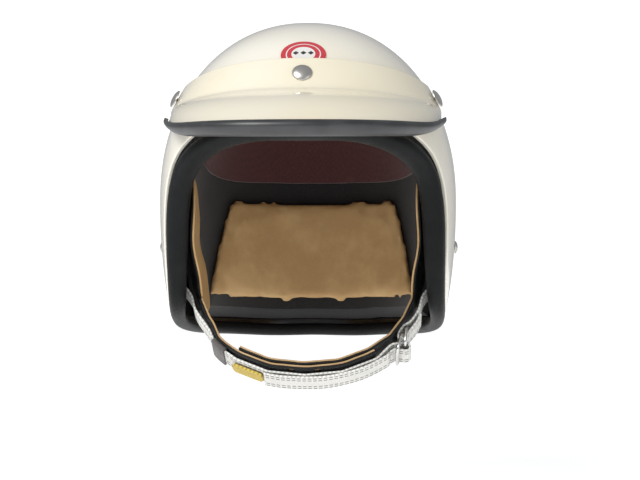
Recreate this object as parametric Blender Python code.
"""Open face motorcycle helmet: shell, liner, edge roll, peak on press studs and chin strap."""
import math

import bmesh
import bpy
import numpy as np
from mathutils import Vector

# Shell, in metres. The front of the helmet looks along -Y.
HALF_WIDTH = 0.122
HALF_LENGTH = 0.142
CROWN_HEIGHT = 0.147
SKIRT_DEPTH = 0.230
CENTER_Z = -0.030
ROUND_PLAN = 2.15
ROUND_SIDE = 2.12
SHELL_THICK = 0.0035
SEGMENTS = 48
# Lower edge of the shell from the brow to the nape, as (y, z) seen from the side.
RIM = ((-0.142, 0.038), (-0.122, 0.034), (-0.096, 0.021), (-0.072, 0.000), (-0.060, -0.035),
       (-0.055, -0.076), (-0.047, -0.101), (-0.030, -0.117), (-0.002, -0.126), (0.040, -0.132),
       (0.080, -0.135), (0.108, -0.136), (0.127, -0.136))

# Chin strap. It swings about the line through the two shell rivets.
RIVET_Z = -0.068
STRAP_LEAN = math.radians(30.0)
STRAP_WIDE = 0.022
STRAP_THICK = 0.0016
BAND_WIDE = 0.030
LAYER = 0.0015
GAP = 0.0003
# Inner face of the chin band, as (sideways, down from the rivets).
LIFT = 0.0041
CHIN = ((0.0840, 0.0554), (0.077, 0.0720), (0.0665, 0.0872), (0.050, 0.0995), (0.027, 0.1092), (0.0, 0.112))

# Peak and its press studs.
PEAK_THICK = 0.0022
PEAK_OFF = 0.0026
PEAK_HALF = 0.1066
PEAK_TURN = math.radians(65.0)
SNAP_Y = -0.048
SNAP_Z = 0.048
CAP_RADIUS = 0.0077
BADGE_RADIUS = 0.0176


def clear_scene():
    for item in list(bpy.data.objects):
        bpy.data.objects.remove(item, do_unlink=True)


def material(name, color, rough, metal=0.0):
    made = bpy.data.materials.new(name)
    made.use_nodes = True
    shader = made.node_tree.nodes["Principled BSDF"]
    shader.inputs["Base Color"].default_value = (*color, 1.0)
    shader.inputs["Roughness"].default_value = rough
    shader.inputs["Metallic"].default_value = metal
    return made


def solid(name, points, faces, mat, smooth=35.0):
    """A closed mesh body with its normals turned outwards."""
    mesh = bpy.data.meshes.new(name)
    mesh.from_pydata([tuple(p) for p in points], [], faces)
    work = bmesh.new()
    work.from_mesh(mesh)
    bmesh.ops.remove_doubles(work, verts=work.verts, dist=1e-6)
    bmesh.ops.recalc_face_normals(work, faces=work.faces)
    if work.calc_volume(signed=True) < 0:
        bmesh.ops.reverse_faces(work, faces=work.faces)
    work.to_mesh(mesh)
    work.free()
    mesh.shade_smooth()
    mesh.set_sharp_from_angle(angle=math.radians(smooth))
    made = bpy.data.objects.new(name, mesh)
    bpy.context.collection.objects.link(made)
    made.data.materials.append(mat)
    return made


def cut(body, points, faces):
    """Cut a closed convex block of points out of a body."""
    tool = solid(body.name + "_cutter", points, faces, body.data.materials[0])
    tool.hide_render = True
    tool.display_type = "WIRE"
    step = body.modifiers.new(tool.name, "BOOLEAN")
    step.operation = "DIFFERENCE"
    step.solver = "EXACT"
    step.object = tool


def rings_solid(name, rings, mat, closed=False, smooth=35.0):
    """Join a row of equal rings of points: a closed loop, or a bar with capped ends."""
    count = len(rings[0])
    points = [p for ring in rings for p in ring]
    faces = []
    last = len(rings) if closed else len(rings) - 1
    for i in range(last):
        here = i * count
        there = ((i + 1) % len(rings)) * count
        for j in range(count):
            k = (j + 1) % count
            faces.append((here + j, here + k, there + k, there + j))
    if not closed:
        faces.append(tuple(range(count)))
        faces.append(tuple(range((len(rings) - 1) * count, len(rings) * count)))
    return solid(name, points, faces, mat, smooth)


def sheet_solid(name, top, bottom, mat, smooth=35.0):
    """A thick sheet between two grids of points with the same rows and columns."""
    rows = len(top)
    columns = len(top[0])
    points = [p for row in top for p in row] + [p for row in bottom for p in row]
    under = rows * columns
    faces = []
    for i in range(rows - 1):
        for j in range(columns - 1):
            a = i * columns + j
            faces.append((a, a + 1, a + columns + 1, a + columns))
            faces.append((under + a, under + a + columns, under + a + columns + 1, under + a + 1))
    edge = [(0, j) for j in range(columns)] + [(i, columns - 1) for i in range(1, rows)]
    edge += [(rows - 1, j) for j in range(columns - 2, -1, -1)] + [(i, 0) for i in range(rows - 2, 0, -1)]
    for n, (i, j) in enumerate(edge):
        p, q = edge[(n + 1) % len(edge)]
        a = i * columns + j
        b = p * columns + q
        faces.append((a, b, under + b, under + a))
    return solid(name, points, faces, mat, smooth)


def turned(name, profile, mat, origin, axis, steps=24):
    """Turn a closed (radius, height) outline about an axis; radius 0 closes on the axis."""
    away = Vector(axis).normalized()
    side = away.orthogonal().normalized()
    other = away.cross(side)
    base = Vector(origin)
    points = []
    faces = []
    rows = []
    for radius, height in profile:
        if radius < 1e-7:
            rows.append([len(points)] * steps)
            points.append(base + away * height)
            continue
        rows.append(list(range(len(points), len(points) + steps)))
        for n in range(steps):
            t = 2.0 * math.pi * n / steps
            points.append(base + away * height + (side * math.cos(t) + other * math.sin(t)) * radius)
    pairs = list(zip(rows, rows[1:] + rows[:1]))
    for one, two in pairs:
        for n in range(steps):
            k = (n + 1) % steps
            corners = list(dict.fromkeys((one[n], one[k], two[k], two[n])))
            if len(corners) > 2:
                faces.append(tuple(corners))
    return solid(name, points, faces, mat)


# ---------------------------------------------------------------- shell surface

TILT = math.radians(35.0)
POLE = Vector((0.0, math.sin(TILT), math.cos(TILT)))
FRONT = Vector((0.0, -math.cos(TILT), math.sin(TILT)))
SIDE = Vector((1.0, 0.0, 0.0))
CENTER = Vector((0.0, 0.0, CENTER_Z))


def dome_radius(way, inset):
    """Distance from the centre to the shell surface along a unit direction."""
    plan = (abs(way.x) / (HALF_WIDTH - inset)) ** ROUND_PLAN + (abs(way.y) / (HALF_LENGTH - inset)) ** ROUND_PLAN
    tall = CROWN_HEIGHT - inset if way.z > 0 else SKIRT_DEPTH - inset
    return (plan ** (ROUND_SIDE / ROUND_PLAN) + (abs(way.z) / tall) ** ROUND_SIDE) ** (-1.0 / ROUND_SIDE)


def dome_point(azimuth, polar, inset=0.0):
    flat = FRONT * math.cos(azimuth) + SIDE * math.sin(azimuth)
    way = POLE * math.cos(polar) + flat * math.sin(polar)
    return CENTER + way * dome_radius(way, inset)


def dome_side(y, z, inset=0.0):
    """Half width of the shell at a point seen from the side."""
    rise = z - CENTER_Z
    tall = CROWN_HEIGHT - inset if rise > 0 else SKIRT_DEPTH - inset
    left = max(0.0, 1.0 - (abs(rise) / tall) ** ROUND_SIDE) ** (ROUND_PLAN / ROUND_SIDE)
    left -= (abs(y) / (HALF_LENGTH - inset)) ** ROUND_PLAN
    return (HALF_WIDTH - inset) * max(0.0, left) ** (1.0 / ROUND_PLAN)


def dome_front(turn, z, offset):
    """Point outside the shell at a turn about the upright axis and a height."""
    way = Vector((math.sin(turn), -math.cos(turn), 0.0))
    rise = z - CENTER_Z
    grow = max(0.0, 1.0 - (rise / (CROWN_HEIGHT + offset)) ** ROUND_SIDE) ** (1.0 / ROUND_SIDE)
    plan = (abs(way.x) / (HALF_WIDTH + offset)) ** ROUND_PLAN
    plan += (abs(way.y) / (HALF_LENGTH + offset)) ** ROUND_PLAN
    return way * (grow * plan ** (-1.0 / ROUND_PLAN)) + Vector((0.0, 0.0, z))


def rim_table():
    """Azimuth and polar angle of each rim point, from the brow round to the nape."""
    table = []
    for index, (y, z) in enumerate(RIM):
        half = 0.0 if index in (0, len(RIM) - 1) else dome_side(y, z)
        way = Vector((half, y, z)) - CENTER
        polar = way.angle(POLE)
        azimuth = math.atan2(way.dot(SIDE), way.dot(FRONT))
        table.append((azimuth, polar))
    return [a for a, p in table], [p for a, p in table]


RIM_TURNS, RIM_POLARS = rim_table()


def rim_polar(azimuth):
    """Polar angle of the rim, with its corners rounded off."""
    total = 0.0
    for shift in range(-4, 5):
        turn = abs(azimuth + math.radians(1.8 * shift))
        turn = min(turn, 2.0 * math.pi - turn)
        total += float(np.interp(turn, RIM_TURNS, RIM_POLARS))
    return total / 9.0


def turns(count=SEGMENTS):
    return [2.0 * math.pi * n / count - math.pi for n in range(count)]


def dome_body(name, outer_in, inner_in, share, mat, rows=12, back=0.0):
    """A dome between two insets of the shell surface, ending at a share of the rim angle."""
    points = []
    faces = []
    starts = []
    for inset in (outer_in, inner_in):
        starts.append(len(points))
        points.append(CENTER + POLE * dome_radius(POLE, inset))
        for row in range(1, rows + 1):
            for azimuth in turns():
                limit = (rim_polar(azimuth) - back) * share
                points.append(dome_point(azimuth, limit * row / rows, inset))
    for start in starts:
        for n in range(SEGMENTS):
            k = (n + 1) % SEGMENTS
            faces.append((start, start + 1 + n, start + 1 + k))
            for row in range(rows - 1):
                a = start + 1 + row * SEGMENTS
                faces.append((a + n, a + SEGMENTS + n, a + SEGMENTS + k, a + k))
    for n in range(SEGMENTS):
        k = (n + 1) % SEGMENTS
        a = starts[0] + 1 + (rows - 1) * SEGMENTS
        b = starts[1] + 1 + (rows - 1) * SEGMENTS
        faces.append((a + n, b + n, b + k, a + k))
    return solid(name, points, faces, mat)


def block(low, high):
    """Corner points and faces of an upright box."""
    points = [(x, y, z) for x in (low[0], high[0]) for y in (low[1], high[1]) for z in (low[2], high[2])]
    faces = [(0, 1, 3, 2), (4, 6, 7, 5), (0, 4, 5, 1), (2, 3, 7, 6), (0, 2, 6, 4), (1, 5, 7, 3)]
    return points, faces


def rod(origin, axis, radius, start, end, steps=20):
    """Points and faces of a round bar used for cutting a hole."""
    away = Vector(axis).normalized()
    side = away.orthogonal().normalized()
    other = away.cross(side)
    points = []
    for height in (start, end):
        for n in range(steps):
            t = 2.0 * math.pi * n / steps
            points.append(Vector(origin) + away * height + (side * math.cos(t) + other * math.sin(t)) * radius)
    faces = [(n, (n + 1) % steps, steps + (n + 1) % steps, steps + n) for n in range(steps)]
    return points, faces + [tuple(range(steps)), tuple(range(steps, 2 * steps))]


# ---------------------------------------------------------------- shell pieces

LEATHER_BLACK = material("black_leather", (0.03, 0.032, 0.033), 0.55)


def dome_normal(point):
    """Outward direction of the shell surface at a point on it."""
    way = point - CENTER
    tall = CROWN_HEIGHT if way.z > 0 else SKIRT_DEPTH
    plan = (abs(way.x) / HALF_WIDTH) ** ROUND_PLAN + (abs(way.y) / HALF_LENGTH) ** ROUND_PLAN
    pull = plan ** (ROUND_SIDE / ROUND_PLAN - 1.0)
    x = pull * (abs(way.x) / HALF_WIDTH) ** (ROUND_PLAN - 1.0) / HALF_WIDTH
    y = pull * (abs(way.y) / HALF_LENGTH) ** (ROUND_PLAN - 1.0) / HALF_LENGTH
    z = (abs(way.z) / tall) ** (ROUND_SIDE - 1.0) / tall
    return Vector((math.copysign(x, way.x), math.copysign(y, way.y), math.copysign(z, way.z))).normalized()


def snap_places():
    """Centre and direction of the three press studs."""
    half = dome_side(SNAP_Y, SNAP_Z)
    spots = (("center", dome_front(0.0, 0.062, 0.0)), ("left", Vector((half, SNAP_Y, SNAP_Z))),
             ("right", Vector((-half, SNAP_Y, SNAP_Z))))
    return [(name, spot, dome_normal(spot)) for name, spot in spots]


def make_shell():
    ivory = material("ivory_paint", (0.88, 0.83, 0.70), 0.18)
    foam = material("liner_foam", (0.05, 0.05, 0.05), 0.9)
    shell = dome_body("outer_shell", 0.0, SHELL_THICK, 1.0, ivory)
    liner = dome_body("impact_liner", SHELL_THICK + 0.0012, 0.018, 1.0, foam, rows=7, back=0.014)
    half = dome_side(0.0, RIVET_Z)
    for sign in (-1.0, 1.0):
        cut(shell, *rod((sign * half, 0.0, RIVET_Z), (1, 0, 0), 0.0026, -0.012, 0.012))
        sides = sorted((sign * 0.060, sign * 0.135))
        cut(liner, *block((sides[0], -0.095, -0.165), (sides[1], 0.048, -0.040)))
    for name, spot, out in snap_places():
        cut(shell, *rod(spot, out, 0.0022, -0.014, 0.010))
        cut(liner, *rod(spot, out, 0.0055, -0.010, 0.010))


def rim_frame(azimuth, inset):
    """Rim point with the outward direction and the direction off the shell's edge."""
    step = 0.002
    polar = rim_polar(azimuth)
    spot = dome_point(azimuth, polar, inset)
    along = dome_point(azimuth + step, rim_polar(azimuth + step), inset) - spot
    down = dome_point(azimuth, polar + step, inset) - spot
    out = down.cross(along).normalized()
    if out.dot(spot - CENTER) < 0:
        out.negate()
    off = along.cross(out).normalized()
    if off.dot(down) < 0:
        off.negate()
    return spot, out, off


def make_roll():
    """Padded leather roll along the whole shell edge: thick at the face, thin below the ears."""
    rings = []
    for azimuth in turns():
        turn = abs(azimuth)
        thick = float(np.interp(turn, (0.0, 1.3, 1.9, math.pi), (0.0096, 0.0096, 0.0062, 0.0055)))
        deep = float(np.interp(turn, (0.0, 1.3, 1.9, math.pi), (0.0080, 0.0080, 0.0058, 0.0055)))
        spot, out, off = rim_frame(azimuth, thick - 0.0006)
        middle = spot + off * (deep + 0.0014)
        ring = []
        for n in range(10):
            t = 2.0 * math.pi * n / 10.0
            c, s = math.cos(t), math.sin(t)
            ring.append(middle + out * (thick * math.copysign(abs(c) ** 0.8, c))
                        + off * (deep * math.copysign(abs(s) ** 0.8, s)))
        rings.append(ring)
    rings_solid("edge_roll", rings, LEATHER_BLACK, closed=True, smooth=60.0)


def dome_patch(name, outer_in, inner_in, start, end, high, low, mat, columns=20, rows=4, dip=0.0):
    """A pad inside the dome between two azimuths and two shares of the rim angle; dip lowers its corners."""
    grids = []
    for inset in (outer_in, inner_in):
        grid = []
        for row in range(rows + 1):
            line = []
            for n in range(columns + 1):
                corner = max(0.0, math.cos((abs(2.0 * n / columns - 1.0) - 0.8) * math.pi / 0.6))
                share = high + (low + dip * corner - high) * row / rows
                azimuth = start + (end - start) * n / columns
                line.append(dome_point(azimuth, rim_polar(azimuth) * share, inset))
            grid.append(line)
        grids.append(grid)
    sheet_solid(name, grids[0], grids[1], mat)


def make_pads():
    lining = material("crown_lining", (0.06, 0.03, 0.03), 0.95)
    tan = material("tan_pad", (0.42, 0.26, 0.12), 0.6)
    dome_body("crown_lining", 0.0200, 0.0240, 0.48, lining, rows=4)
    dome_patch("brow_pad", 0.0196, 0.0252, math.radians(-50), math.radians(50), 0.56, 0.955, tan, dip=0.10)
    dome_patch("nape_pad", 0.0202, 0.0268, math.radians(134), math.radians(226), 0.56, 0.975, tan)


# ---------------------------------------------------------------- ear flaps

FLAP = ((-25, 0.055), (66, 0.055), (80, 0.0565), (97, 0.0590), (116, 0.0700), (138, 0.0850), (148, 0.0800),
        (165, 0.0640), (190, 0.0580), (214, 0.0560), (250, 0.0440), (300, 0.0440), (335, 0.055))


def flap_face(y, z):
    """Sideways place of the inner face of an ear flap."""
    radius = math.hypot(y, z - RIVET_Z)
    fall = (RIVET_Z - z) / max(radius, 1e-6)
    weight = min(1.0, max(0.0, (fall + 0.1) / 0.6))
    weight = weight * weight * (3.0 - 2.0 * weight)
    drop = float(np.interp(radius, (0.0, 0.02, 0.036, 0.055), (0.0, 0.0004, 0.0036, 0.0115)))
    limit = dome_side(y, max(z, -0.045), 0.018) - 0.0047
    share = min(1.0, max(0.0, (z + 0.062) / 0.020))
    side = 0.0955 + (min(0.0955, limit) - 0.0955) * share
    forward = min(1.0, max(0.0, (-y - 0.018) / 0.026))
    return side - 0.0060 * forward * (1.0 - weight) * (1.0 - share) - drop * weight


def make_flap(name, sign, start, mat, steps=30, rows=4):
    angles = [math.radians(a) for a, r in FLAP]
    reach = [r for a, r in FLAP]
    points = []
    faces = []
    starts = []
    for shift in (start, start + LAYER):
        starts.append(len(points))
        points.append((sign * (flap_face(0.0, RIVET_Z) + shift), 0.0, RIVET_Z))
        for row in range(1, rows + 1):
            for n in range(steps):
                a = 2.0 * math.pi * n / steps - math.radians(25.0)
                radius = float(np.interp(a, angles, reach)) * row / rows
                y = -radius * math.sin(a)
                z = RIVET_Z - radius * math.cos(a)
                points.append((sign * (flap_face(y, z) + shift), y, z))
    for base in starts:
        for n in range(steps):
            k = (n + 1) % steps
            faces.append((base, base + 1 + n, base + 1 + k))
            for row in range(rows - 1):
                a = base + 1 + row * steps
                faces.append((a + n, a + steps + n, a + steps + k, a + k))
    for n in range(steps):
        k = (n + 1) % steps
        a = starts[0] + 1 + (rows - 1) * steps
        b = starts[1] + 1 + (rows - 1) * steps
        faces.append((a + n, b + n, b + k, a + k))
    solid(name, points, faces, mat)


# ---------------------------------------------------------------- chin strap

DOWN = Vector((0.0, -math.sin(STRAP_LEAN), -math.cos(STRAP_LEAN)))
ACROSS = Vector((0.0, -math.cos(STRAP_LEAN), math.sin(STRAP_LEAN)))


def in_plane(side, down, wide=0.0):
    """World place of a point given sideways, down the strap plane, and across it."""
    return Vector((side, 0.0, RIVET_Z)) + DOWN * down + ACROSS * wide


def smooth_path(knots, count):
    """Points of an even curve through the knots (Catmull-Rom)."""
    pts = [Vector(k) for k in knots]
    pts = [pts[0] * 2.0 - pts[1]] + pts + [pts[-1] * 2.0 - pts[-2]]
    dense = []
    for i in range(1, len(pts) - 2):
        for n in range(12):
            t = n / 12.0
            a, b, c, d = pts[i - 1], pts[i], pts[i + 1], pts[i + 2]
            dense.append(0.5 * (b * 2.0 + (c - a) * t + (a * 2.0 - b * 5.0 + c * 4.0 - d) * t * t
                                + (b * 3.0 - a - c * 3.0 + d) * t ** 3))
    dense.append(pts[-2])
    gaps = [0.0]
    for one, two in zip(dense, dense[1:]):
        gaps.append(gaps[-1] + (two - one).length)
    wanted = np.linspace(0.0, gaps[-1], count)
    xs = np.interp(wanted, gaps, [p.x for p in dense])
    ys = np.interp(wanted, gaps, [p.y for p in dense])
    return [Vector((float(x), float(y))) for x, y in zip(xs, ys)]


CHIN_LINE = [Vector((-x, d)) for x, d in CHIN] + [Vector((x, d)) for x, d in reversed(CHIN[:-1])]


def chin_point(s, offset):
    """Point on the chin curve, s from -1 (wearer's right) to 1, pushed outwards by an offset."""
    grid = np.linspace(-1.0, 1.0, len(CHIN_LINE))
    here = Vector((float(np.interp(s, grid, [p.x for p in CHIN_LINE])),
                   float(np.interp(s, grid, [p.y for p in CHIN_LINE]))))
    ahead = Vector((float(np.interp(s + 0.12, grid, [p.x for p in CHIN_LINE])),
                    float(np.interp(s + 0.12, grid, [p.y for p in CHIN_LINE]))))
    behind = Vector((float(np.interp(s - 0.12, grid, [p.x for p in CHIN_LINE])),
                     float(np.interp(s - 0.12, grid, [p.y for p in CHIN_LINE]))))
    way = (ahead - behind).normalized()
    return here + Vector((-way.y, way.x)) * offset


def lift(s):
    """Extra offset of the right-hand layers where they lie over the left band."""
    t = min(1.0, max(0.0, (s + 0.78) / 0.28))
    return LIFT * t * t * (3.0 - 2.0 * t)


def ribbon(name, path, thick, wide, mat, smooth=35.0):
    """A flat strip of even thickness along a path in the strap plane."""
    rings = []
    for i, spot in enumerate(path):
        way = (path[min(i + 1, len(path) - 1)] - path[max(i - 1, 0)]).normalized()
        out = Vector((-way.y, way.x)) * (thick / 2.0)
        one, two = spot + out, spot - out
        rings.append([in_plane(one.x, one.y, wide / 2.0), in_plane(one.x, one.y, -wide / 2.0),
                      in_plane(two.x, two.y, -wide / 2.0), in_plane(two.x, two.y, wide / 2.0)])
    return rings_solid(name, rings, mat, smooth=smooth)


def chin_run(start, end, offset, raised, count=22):
    path = []
    for n in range(count):
        s = start + (end - start) * n / (count - 1)
        path.append(chin_point(s, offset + (lift(s) if raised else 0.0)))
    return path


def make_bands():
    tan = material("tan_lining", (0.55, 0.38, 0.22), 0.65)
    for side, sign in (("left", 1.0), ("right", -1.0)):
        make_flap(side + "_ear_lining", sign, 0.0, tan)
        make_flap(side + "_ear_flap", sign, LAYER + GAP, LEATHER_BLACK)
    half = LAYER / 2.0
    ribbon("left_chin_lining", chin_run(-0.42, 1.0, half, False), LAYER, BAND_WIDE, tan)
    ribbon("left_chin_band", chin_run(-0.42, 1.0, LAYER + GAP + half, False), LAYER, BAND_WIDE, LEATHER_BLACK)
    ribbon("right_chin_lining", chin_run(-1.0, 0.43, half, True), LAYER, BAND_WIDE, tan)
    band = ribbon("right_chin_band", chin_run(-1.0, 0.43, LAYER + GAP + half, True), LAYER, BAND_WIDE,
                  LEATHER_BLACK)
    for side in (-0.011, 0.010, 0.031):
        middle = chin_point(side * 8.6, LAYER + GAP + half + LIFT)
        cut(band, *rod(in_plane(side, middle.y, 0.0108), DOWN, 0.0030, -0.0022, 0.0022, 14))


TONGUE_OUT = 0.0058
RING_A = (Vector((0.0768, 0.0860)), Vector((0.0728, 0.1029)))
RING_B = (Vector((0.0802, 0.0802)), Vector((0.0792, 0.0967)))


def make_straps():
    webbing = material("white_webbing", (0.80, 0.80, 0.76), 0.85)
    top = [(0.1118, 0.0075), (0.1112, 0.020), (0.1045, 0.036), (0.0943, 0.0500), (0.0896, 0.0640)]
    run = [tuple(chin_point(s, TONGUE_OUT + lift(s))) for s in np.linspace(-0.72, 0.44, 30)]
    fold = [(0.0675, 0.0958), (0.0725, 0.0940), (0.0770, 0.0934), (0.0800, 0.0931), (0.0826, 0.0951),
            (0.0830, 0.0981), (0.0806, 0.1002), (0.0765, 0.0998), (0.0722, 0.0988), (0.0672, 0.1014)]
    start = [(-x, d) for x, d in top]
    ribbon("right_strap", smooth_path(start + run + fold, 62), STRAP_THICK, STRAP_WIDE, webbing)
    loop = [(0.0840, 0.0738), (0.0784, 0.0777), (0.0747, 0.0835), (0.0738, 0.0866), (0.0749, 0.0890),
            (0.0779, 0.0890), (0.0799, 0.0870), (0.0832, 0.0823), (0.0882, 0.0752), (0.0922, 0.0672)]
    ribbon("left_strap", smooth_path(top[:4] + [(0.0901, 0.0640)] + loop, 44), STRAP_THICK, STRAP_WIDE, webbing)
    tail = [tuple(chin_point(s, TONGUE_OUT + LIFT + 0.0031)) for s in (0.48, 0.3, 0.1, -0.1, -0.22)]
    ribbon("strap_tail", smooth_path([(0.0664, 0.1020)] + tail, 24), STRAP_THICK, STRAP_WIDE, webbing)
    yellow = material("yellow_tab", (0.62, 0.50, 0.14), 0.8)
    tab = [chin_point(s, TONGUE_OUT + LIFT + 0.0031) for s in np.linspace(-0.225, -0.42, 8)]
    ribbon("pull_tab", tab, 0.0022, 0.012, yellow)


def make_keeper():
    """Flat vinyl sleeve round the tongue."""
    grey = material("grey_vinyl", (0.10, 0.095, 0.09), 0.6)
    rings = []
    path = [chin_point(s, TONGUE_OUT + lift(s)) for s in np.linspace(-0.62, -0.50, 7)]
    for i, spot in enumerate(path):
        way = (path[min(i + 1, 6)] - path[max(i - 1, 0)]).normalized()
        out = Vector((-way.y, way.x))
        ring = []
        for thick, wide in ((0.0023, 0.0130), (0.00145, 0.0117)):
            for a, b in ((1, 1), (1, -1), (-1, -1), (-1, 1)):
                p = spot + out * (a * thick)
                ring.append(in_plane(p.x, p.y, b * wide))
        rings.append(ring)
    points = [p for ring in rings for p in ring]
    faces = []
    for i in range(6):
        for base in (0, 4):
            for j in range(4):
                a = i * 8 + base + j
                b = i * 8 + base + (j + 1) % 4
                faces.append((a, b, b + 8, a + 8))
    for i in (0, 6):
        for j in range(4):
            k = (j + 1) % 4
            faces.append((i * 8 + j, i * 8 + k, i * 8 + 4 + k, i * 8 + 4 + j))
    solid("strap_keeper", points, faces, grey)


def make_ring(name, ends, mat):
    """A D ring: a straight bar inside the strap loop and a round-cornered bow."""
    bar, bow = ends
    wire = 0.0014
    half = 0.0139
    corner = 0.0050
    depth = (bow - bar).length
    way = (bow - bar) / depth
    outline = [(-half + 0.0006, 0.0), (half - 0.0006, 0.0), (half, 0.0008), (half, depth - corner)]
    outline += [(half - corner + corner * math.cos(t), depth - corner + corner * math.sin(t))
                for t in (0.52, 1.05, math.pi / 2.0)]
    outline += [(-x, d) for x, d in reversed(outline[3:])] + [(-half, 0.0008)]
    flat = [Vector(p) for p in outline]
    rings = []
    for i, spot in enumerate(flat):
        back = (spot - flat[i - 1]).normalized()
        ahead = (flat[(i + 1) % len(flat)] - spot).normalized()
        across = (back + ahead).normalized()
        out2 = Vector((across.y, -across.x))
        grow = 1.0 / max(0.7, out2.dot(Vector((back.y, -back.x))))
        middle = bar + way * spot.y
        base = in_plane(middle.x, middle.y, spot.x)
        side = in_plane(way.x * out2.y, way.y * out2.y, out2.x) - in_plane(0.0, 0.0)
        face = Vector(side).cross(in_plane(way.x * across.y, way.y * across.y, across.x) - in_plane(0.0, 0.0))
        face.normalize()
        ring = []
        for n in range(8):
            t = 2.0 * math.pi * n / 8.0
            ring.append(base + side * (wire * grow * math.cos(t)) + face * (wire * math.sin(t)))
        rings.append(ring)
    made = rings_solid(name, rings, mat, closed=True, smooth=60.0)
    return made


def make_rivets(steel):
    half = dome_side(0.0, RIVET_Z)
    for side, sign in (("left", 1.0), ("right", -1.0)):
        out = (sign, 0.0, 0.0)
        spot = (sign * half, 0.0, RIVET_Z)
        turned(side + "_strap_rivet", ((0.0, 0.0028), (0.0030, 0.0028), (0.0055, 0.0012), (0.0055, 0.0004),
               (0.0021, 0.0004), (0.0021, -0.0100), (0.0, -0.0100)), steel, spot, out, 16)
        turned(side + "_rivet_washer", ((0.0024, -0.0086), (0.0052, -0.0086), (0.0052, -0.0097),
               (0.0024, -0.0097)), steel, spot, out, 16)
        plate = [in_plane(sign * x, d, w) for x in (0.1132, 0.1143)
                 for d, w in ((-0.010, -0.008), (-0.010, 0.008), (0.018, 0.010), (0.018, -0.010))]
        faces = [(0, 1, 2, 3), (7, 6, 5, 4)] + [(j, (j + 1) % 4, 4 + (j + 1) % 4, 4 + j) for j in range(4)]
        body = solid(side + "_anchor_plate", plate, faces, steel)
        cut(body, *rod(spot, out, 0.0025, -0.020, 0.010))


# ---------------------------------------------------------------- peak

def peak_point(share, row, offset):
    """Point of the peak: share -1..1 across, row 0..1 on the shell, 1..2 on the brim."""
    bend = abs(share) ** 2.0
    turn = PEAK_TURN * share
    top = 0.077 - 0.016 * bend
    crease = 0.051 - 0.010 * bend
    if row <= 1.0:
        ease = 0.0012 * row * row
        return dome_front(turn, top + (crease - top) * row, offset + ease)
    t = row - 1.0
    angle = math.pi / 2.0 * share
    s = abs(math.sin(angle))
    low = 0.0190 + 0.003 * s * s + 0.010 * s ** 14
    grow = offset - PEAK_OFF
    wide = (PEAK_HALF + grow) * math.copysign(s ** 0.85, share)
    edge = Vector((wide, -0.056 - (0.137 + grow) * math.cos(angle), low + grow * 0.6))
    fold = dome_front(turn, crease, offset + 0.0012)
    mid = fold.lerp(edge, t)
    mid.z += 0.0050 * math.sin(math.pi * t) * math.cos(angle) ** 0.5
    return mid


def make_peak(steel):
    ivory = material("ivory_peak", (0.88, 0.83, 0.70), 0.2)
    rubber = material("black_rubber", (0.02, 0.021, 0.023), 0.45)
    grids = []
    rows = [0.0, 0.33, 0.66, 1.0, 1.12, 1.35, 1.65, 1.9, 2.0]
    for offset in (PEAK_OFF + PEAK_THICK, PEAK_OFF):
        grid = [[peak_point(-1.0 + n / 14.0, row, offset) for n in range(29)] for row in rows]
        grids.append(grid)
    peak = sheet_solid("visor_peak", grids[0], grids[1], ivory)
    for name, spot, out in snap_places():
        cut(peak, *rod(spot, out, 0.0047, -0.004, 0.016))
    rings = []
    for n in range(41):
        share = -0.985 + 1.97 * n / 40.0
        edge = (peak_point(share, 2.0, PEAK_OFF) + peak_point(share, 2.0, PEAK_OFF + PEAK_THICK)) / 2.0
        before = (peak_point(share, 1.9, PEAK_OFF) + peak_point(share, 1.9, PEAK_OFF + PEAK_THICK)) / 2.0
        way = (edge - before).normalized()
        up = (peak_point(share, 2.0, PEAK_OFF + PEAK_THICK) - peak_point(share, 2.0, PEAK_OFF))
        up = (up - way * up.dot(way)).normalized()
        ring = []
        thin = 1.0 - 0.62 * abs(share) ** 8
        for a, b in ((-0.0020, 0.0019), (-0.0020, 0.0046), (0.0020, 0.0050), (0.0050, 0.0022),
                     (0.0052, -0.0036 * thin), (0.0022, -0.0076 * thin), (-0.0020, -0.0070 * thin),
                     (-0.0020, -0.0019), (0.0009, -0.0019), (0.0009, 0.0019)):
            ring.append(edge + way * a + up * b)
        rings.append(ring)
    rings_solid("visor_trim", rings, rubber)
    for name, spot, out in snap_places():
        make_snap(name, spot, out, steel)


LOW_POST = ((0.0, 0.0020), (0.0022, 0.0020), (0.0026, 0.0014), (0.0020, 0.0010), (0.0034, 0.0009),
            (0.0034, 0.0004), (0.0018, 0.0004), (0.0018, -0.0062), (0.0, -0.0062))
BALL_POST = ((0.0, 0.0062), (0.0013, 0.0058), (0.0023, 0.0049), (0.0026, 0.0036), (0.0023, 0.0023),
             (0.0014, 0.0015), (0.0014, 0.0011), (0.0030, 0.0011), (0.0030, 0.0006), (0.0016, 0.0006),
             (0.0016, -0.0062), (0.0, -0.0062))


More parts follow.
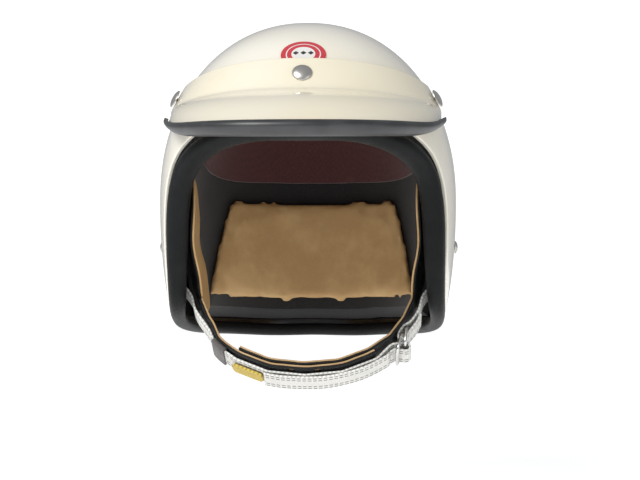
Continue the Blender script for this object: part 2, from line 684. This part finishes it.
def make_snap(name, spot, out, steel):
    """One press stud: a post on the shell, and a socket and cap on the peak."""
    middle = name == "center"
    high = 0.0056 if middle else 0.0068
    low = 0.0024 if middle else 0.0029
    top = 0.0053 if middle else 0.0044
    turned(name + "_snap_stud", LOW_POST if middle else BALL_POST, steel, spot, out, 16)
    turned(name + "_snap_socket", ((0.0031, top), (0.0042, top), (0.0042, low), (0.0031, low)), steel, spot, out, 16)
    turned(name + "_snap_cap", ((0.0, high + 0.0028), (0.0040, high + 0.0025), (0.0066, high + 0.0015),
           (CAP_RADIUS, high + 0.0006), (CAP_RADIUS, high), (0.0, high)), steel, spot, out, 24)


def make_badge():
    """Round sticker just above the centre stud, following the shell."""
    print_face = material("badge_print", (0.60, 0.05, 0.05), 0.3)
    middle = dome_front(0.0, 0.0815, 0.0)
    higher = dome_front(0.0, 0.0825, 0.0) - middle
    up = higher.normalized()
    grids = []
    points = []
    faces = []
    steps = 28
    for thick in (0.0003, 0.0009):
        grids.append(len(points))
        for radius in (0.0, BADGE_RADIUS / 2.0, BADGE_RADIUS):
            for n in range(steps if radius else 1):
                t = 2.0 * math.pi * n / steps
                spot = middle + Vector((math.cos(t) * radius, 0, 0)) + up * (math.sin(t) * radius)
                way = (spot - CENTER).normalized()
                points.append(CENTER + way * (dome_radius(way, 0.0) + thick))
    for base in grids:
        for n in range(steps):
            k = (n + 1) % steps
            faces.append((base, base + 1 + n, base + 1 + k))
            faces.append((base + 1 + n, base + 1 + steps + n, base + 1 + steps + k, base + 1 + k))
    for n in range(steps):
        k = (n + 1) % steps
        a, b = grids[0] + 1 + steps, grids[1] + 1 + steps
        faces.append((a + n, b + n, b + k, a + k))
    solid("shell_badge", points, faces, print_face)


def build():
    clear_scene()
    steel = material("brushed_nickel", (0.50, 0.49, 0.47), 0.32, 1.0)
    make_shell()
    make_roll()
    make_pads()
    make_bands()
    make_straps()
    make_keeper()
    ring_steel = material("ring_steel", (0.55, 0.55, 0.54), 0.25, 1.0)
    make_ring("d_ring_inner", RING_A, ring_steel)
    make_ring("d_ring_outer", RING_B, ring_steel)
    make_rivets(steel)
    make_peak(steel)
    make_badge()


build()
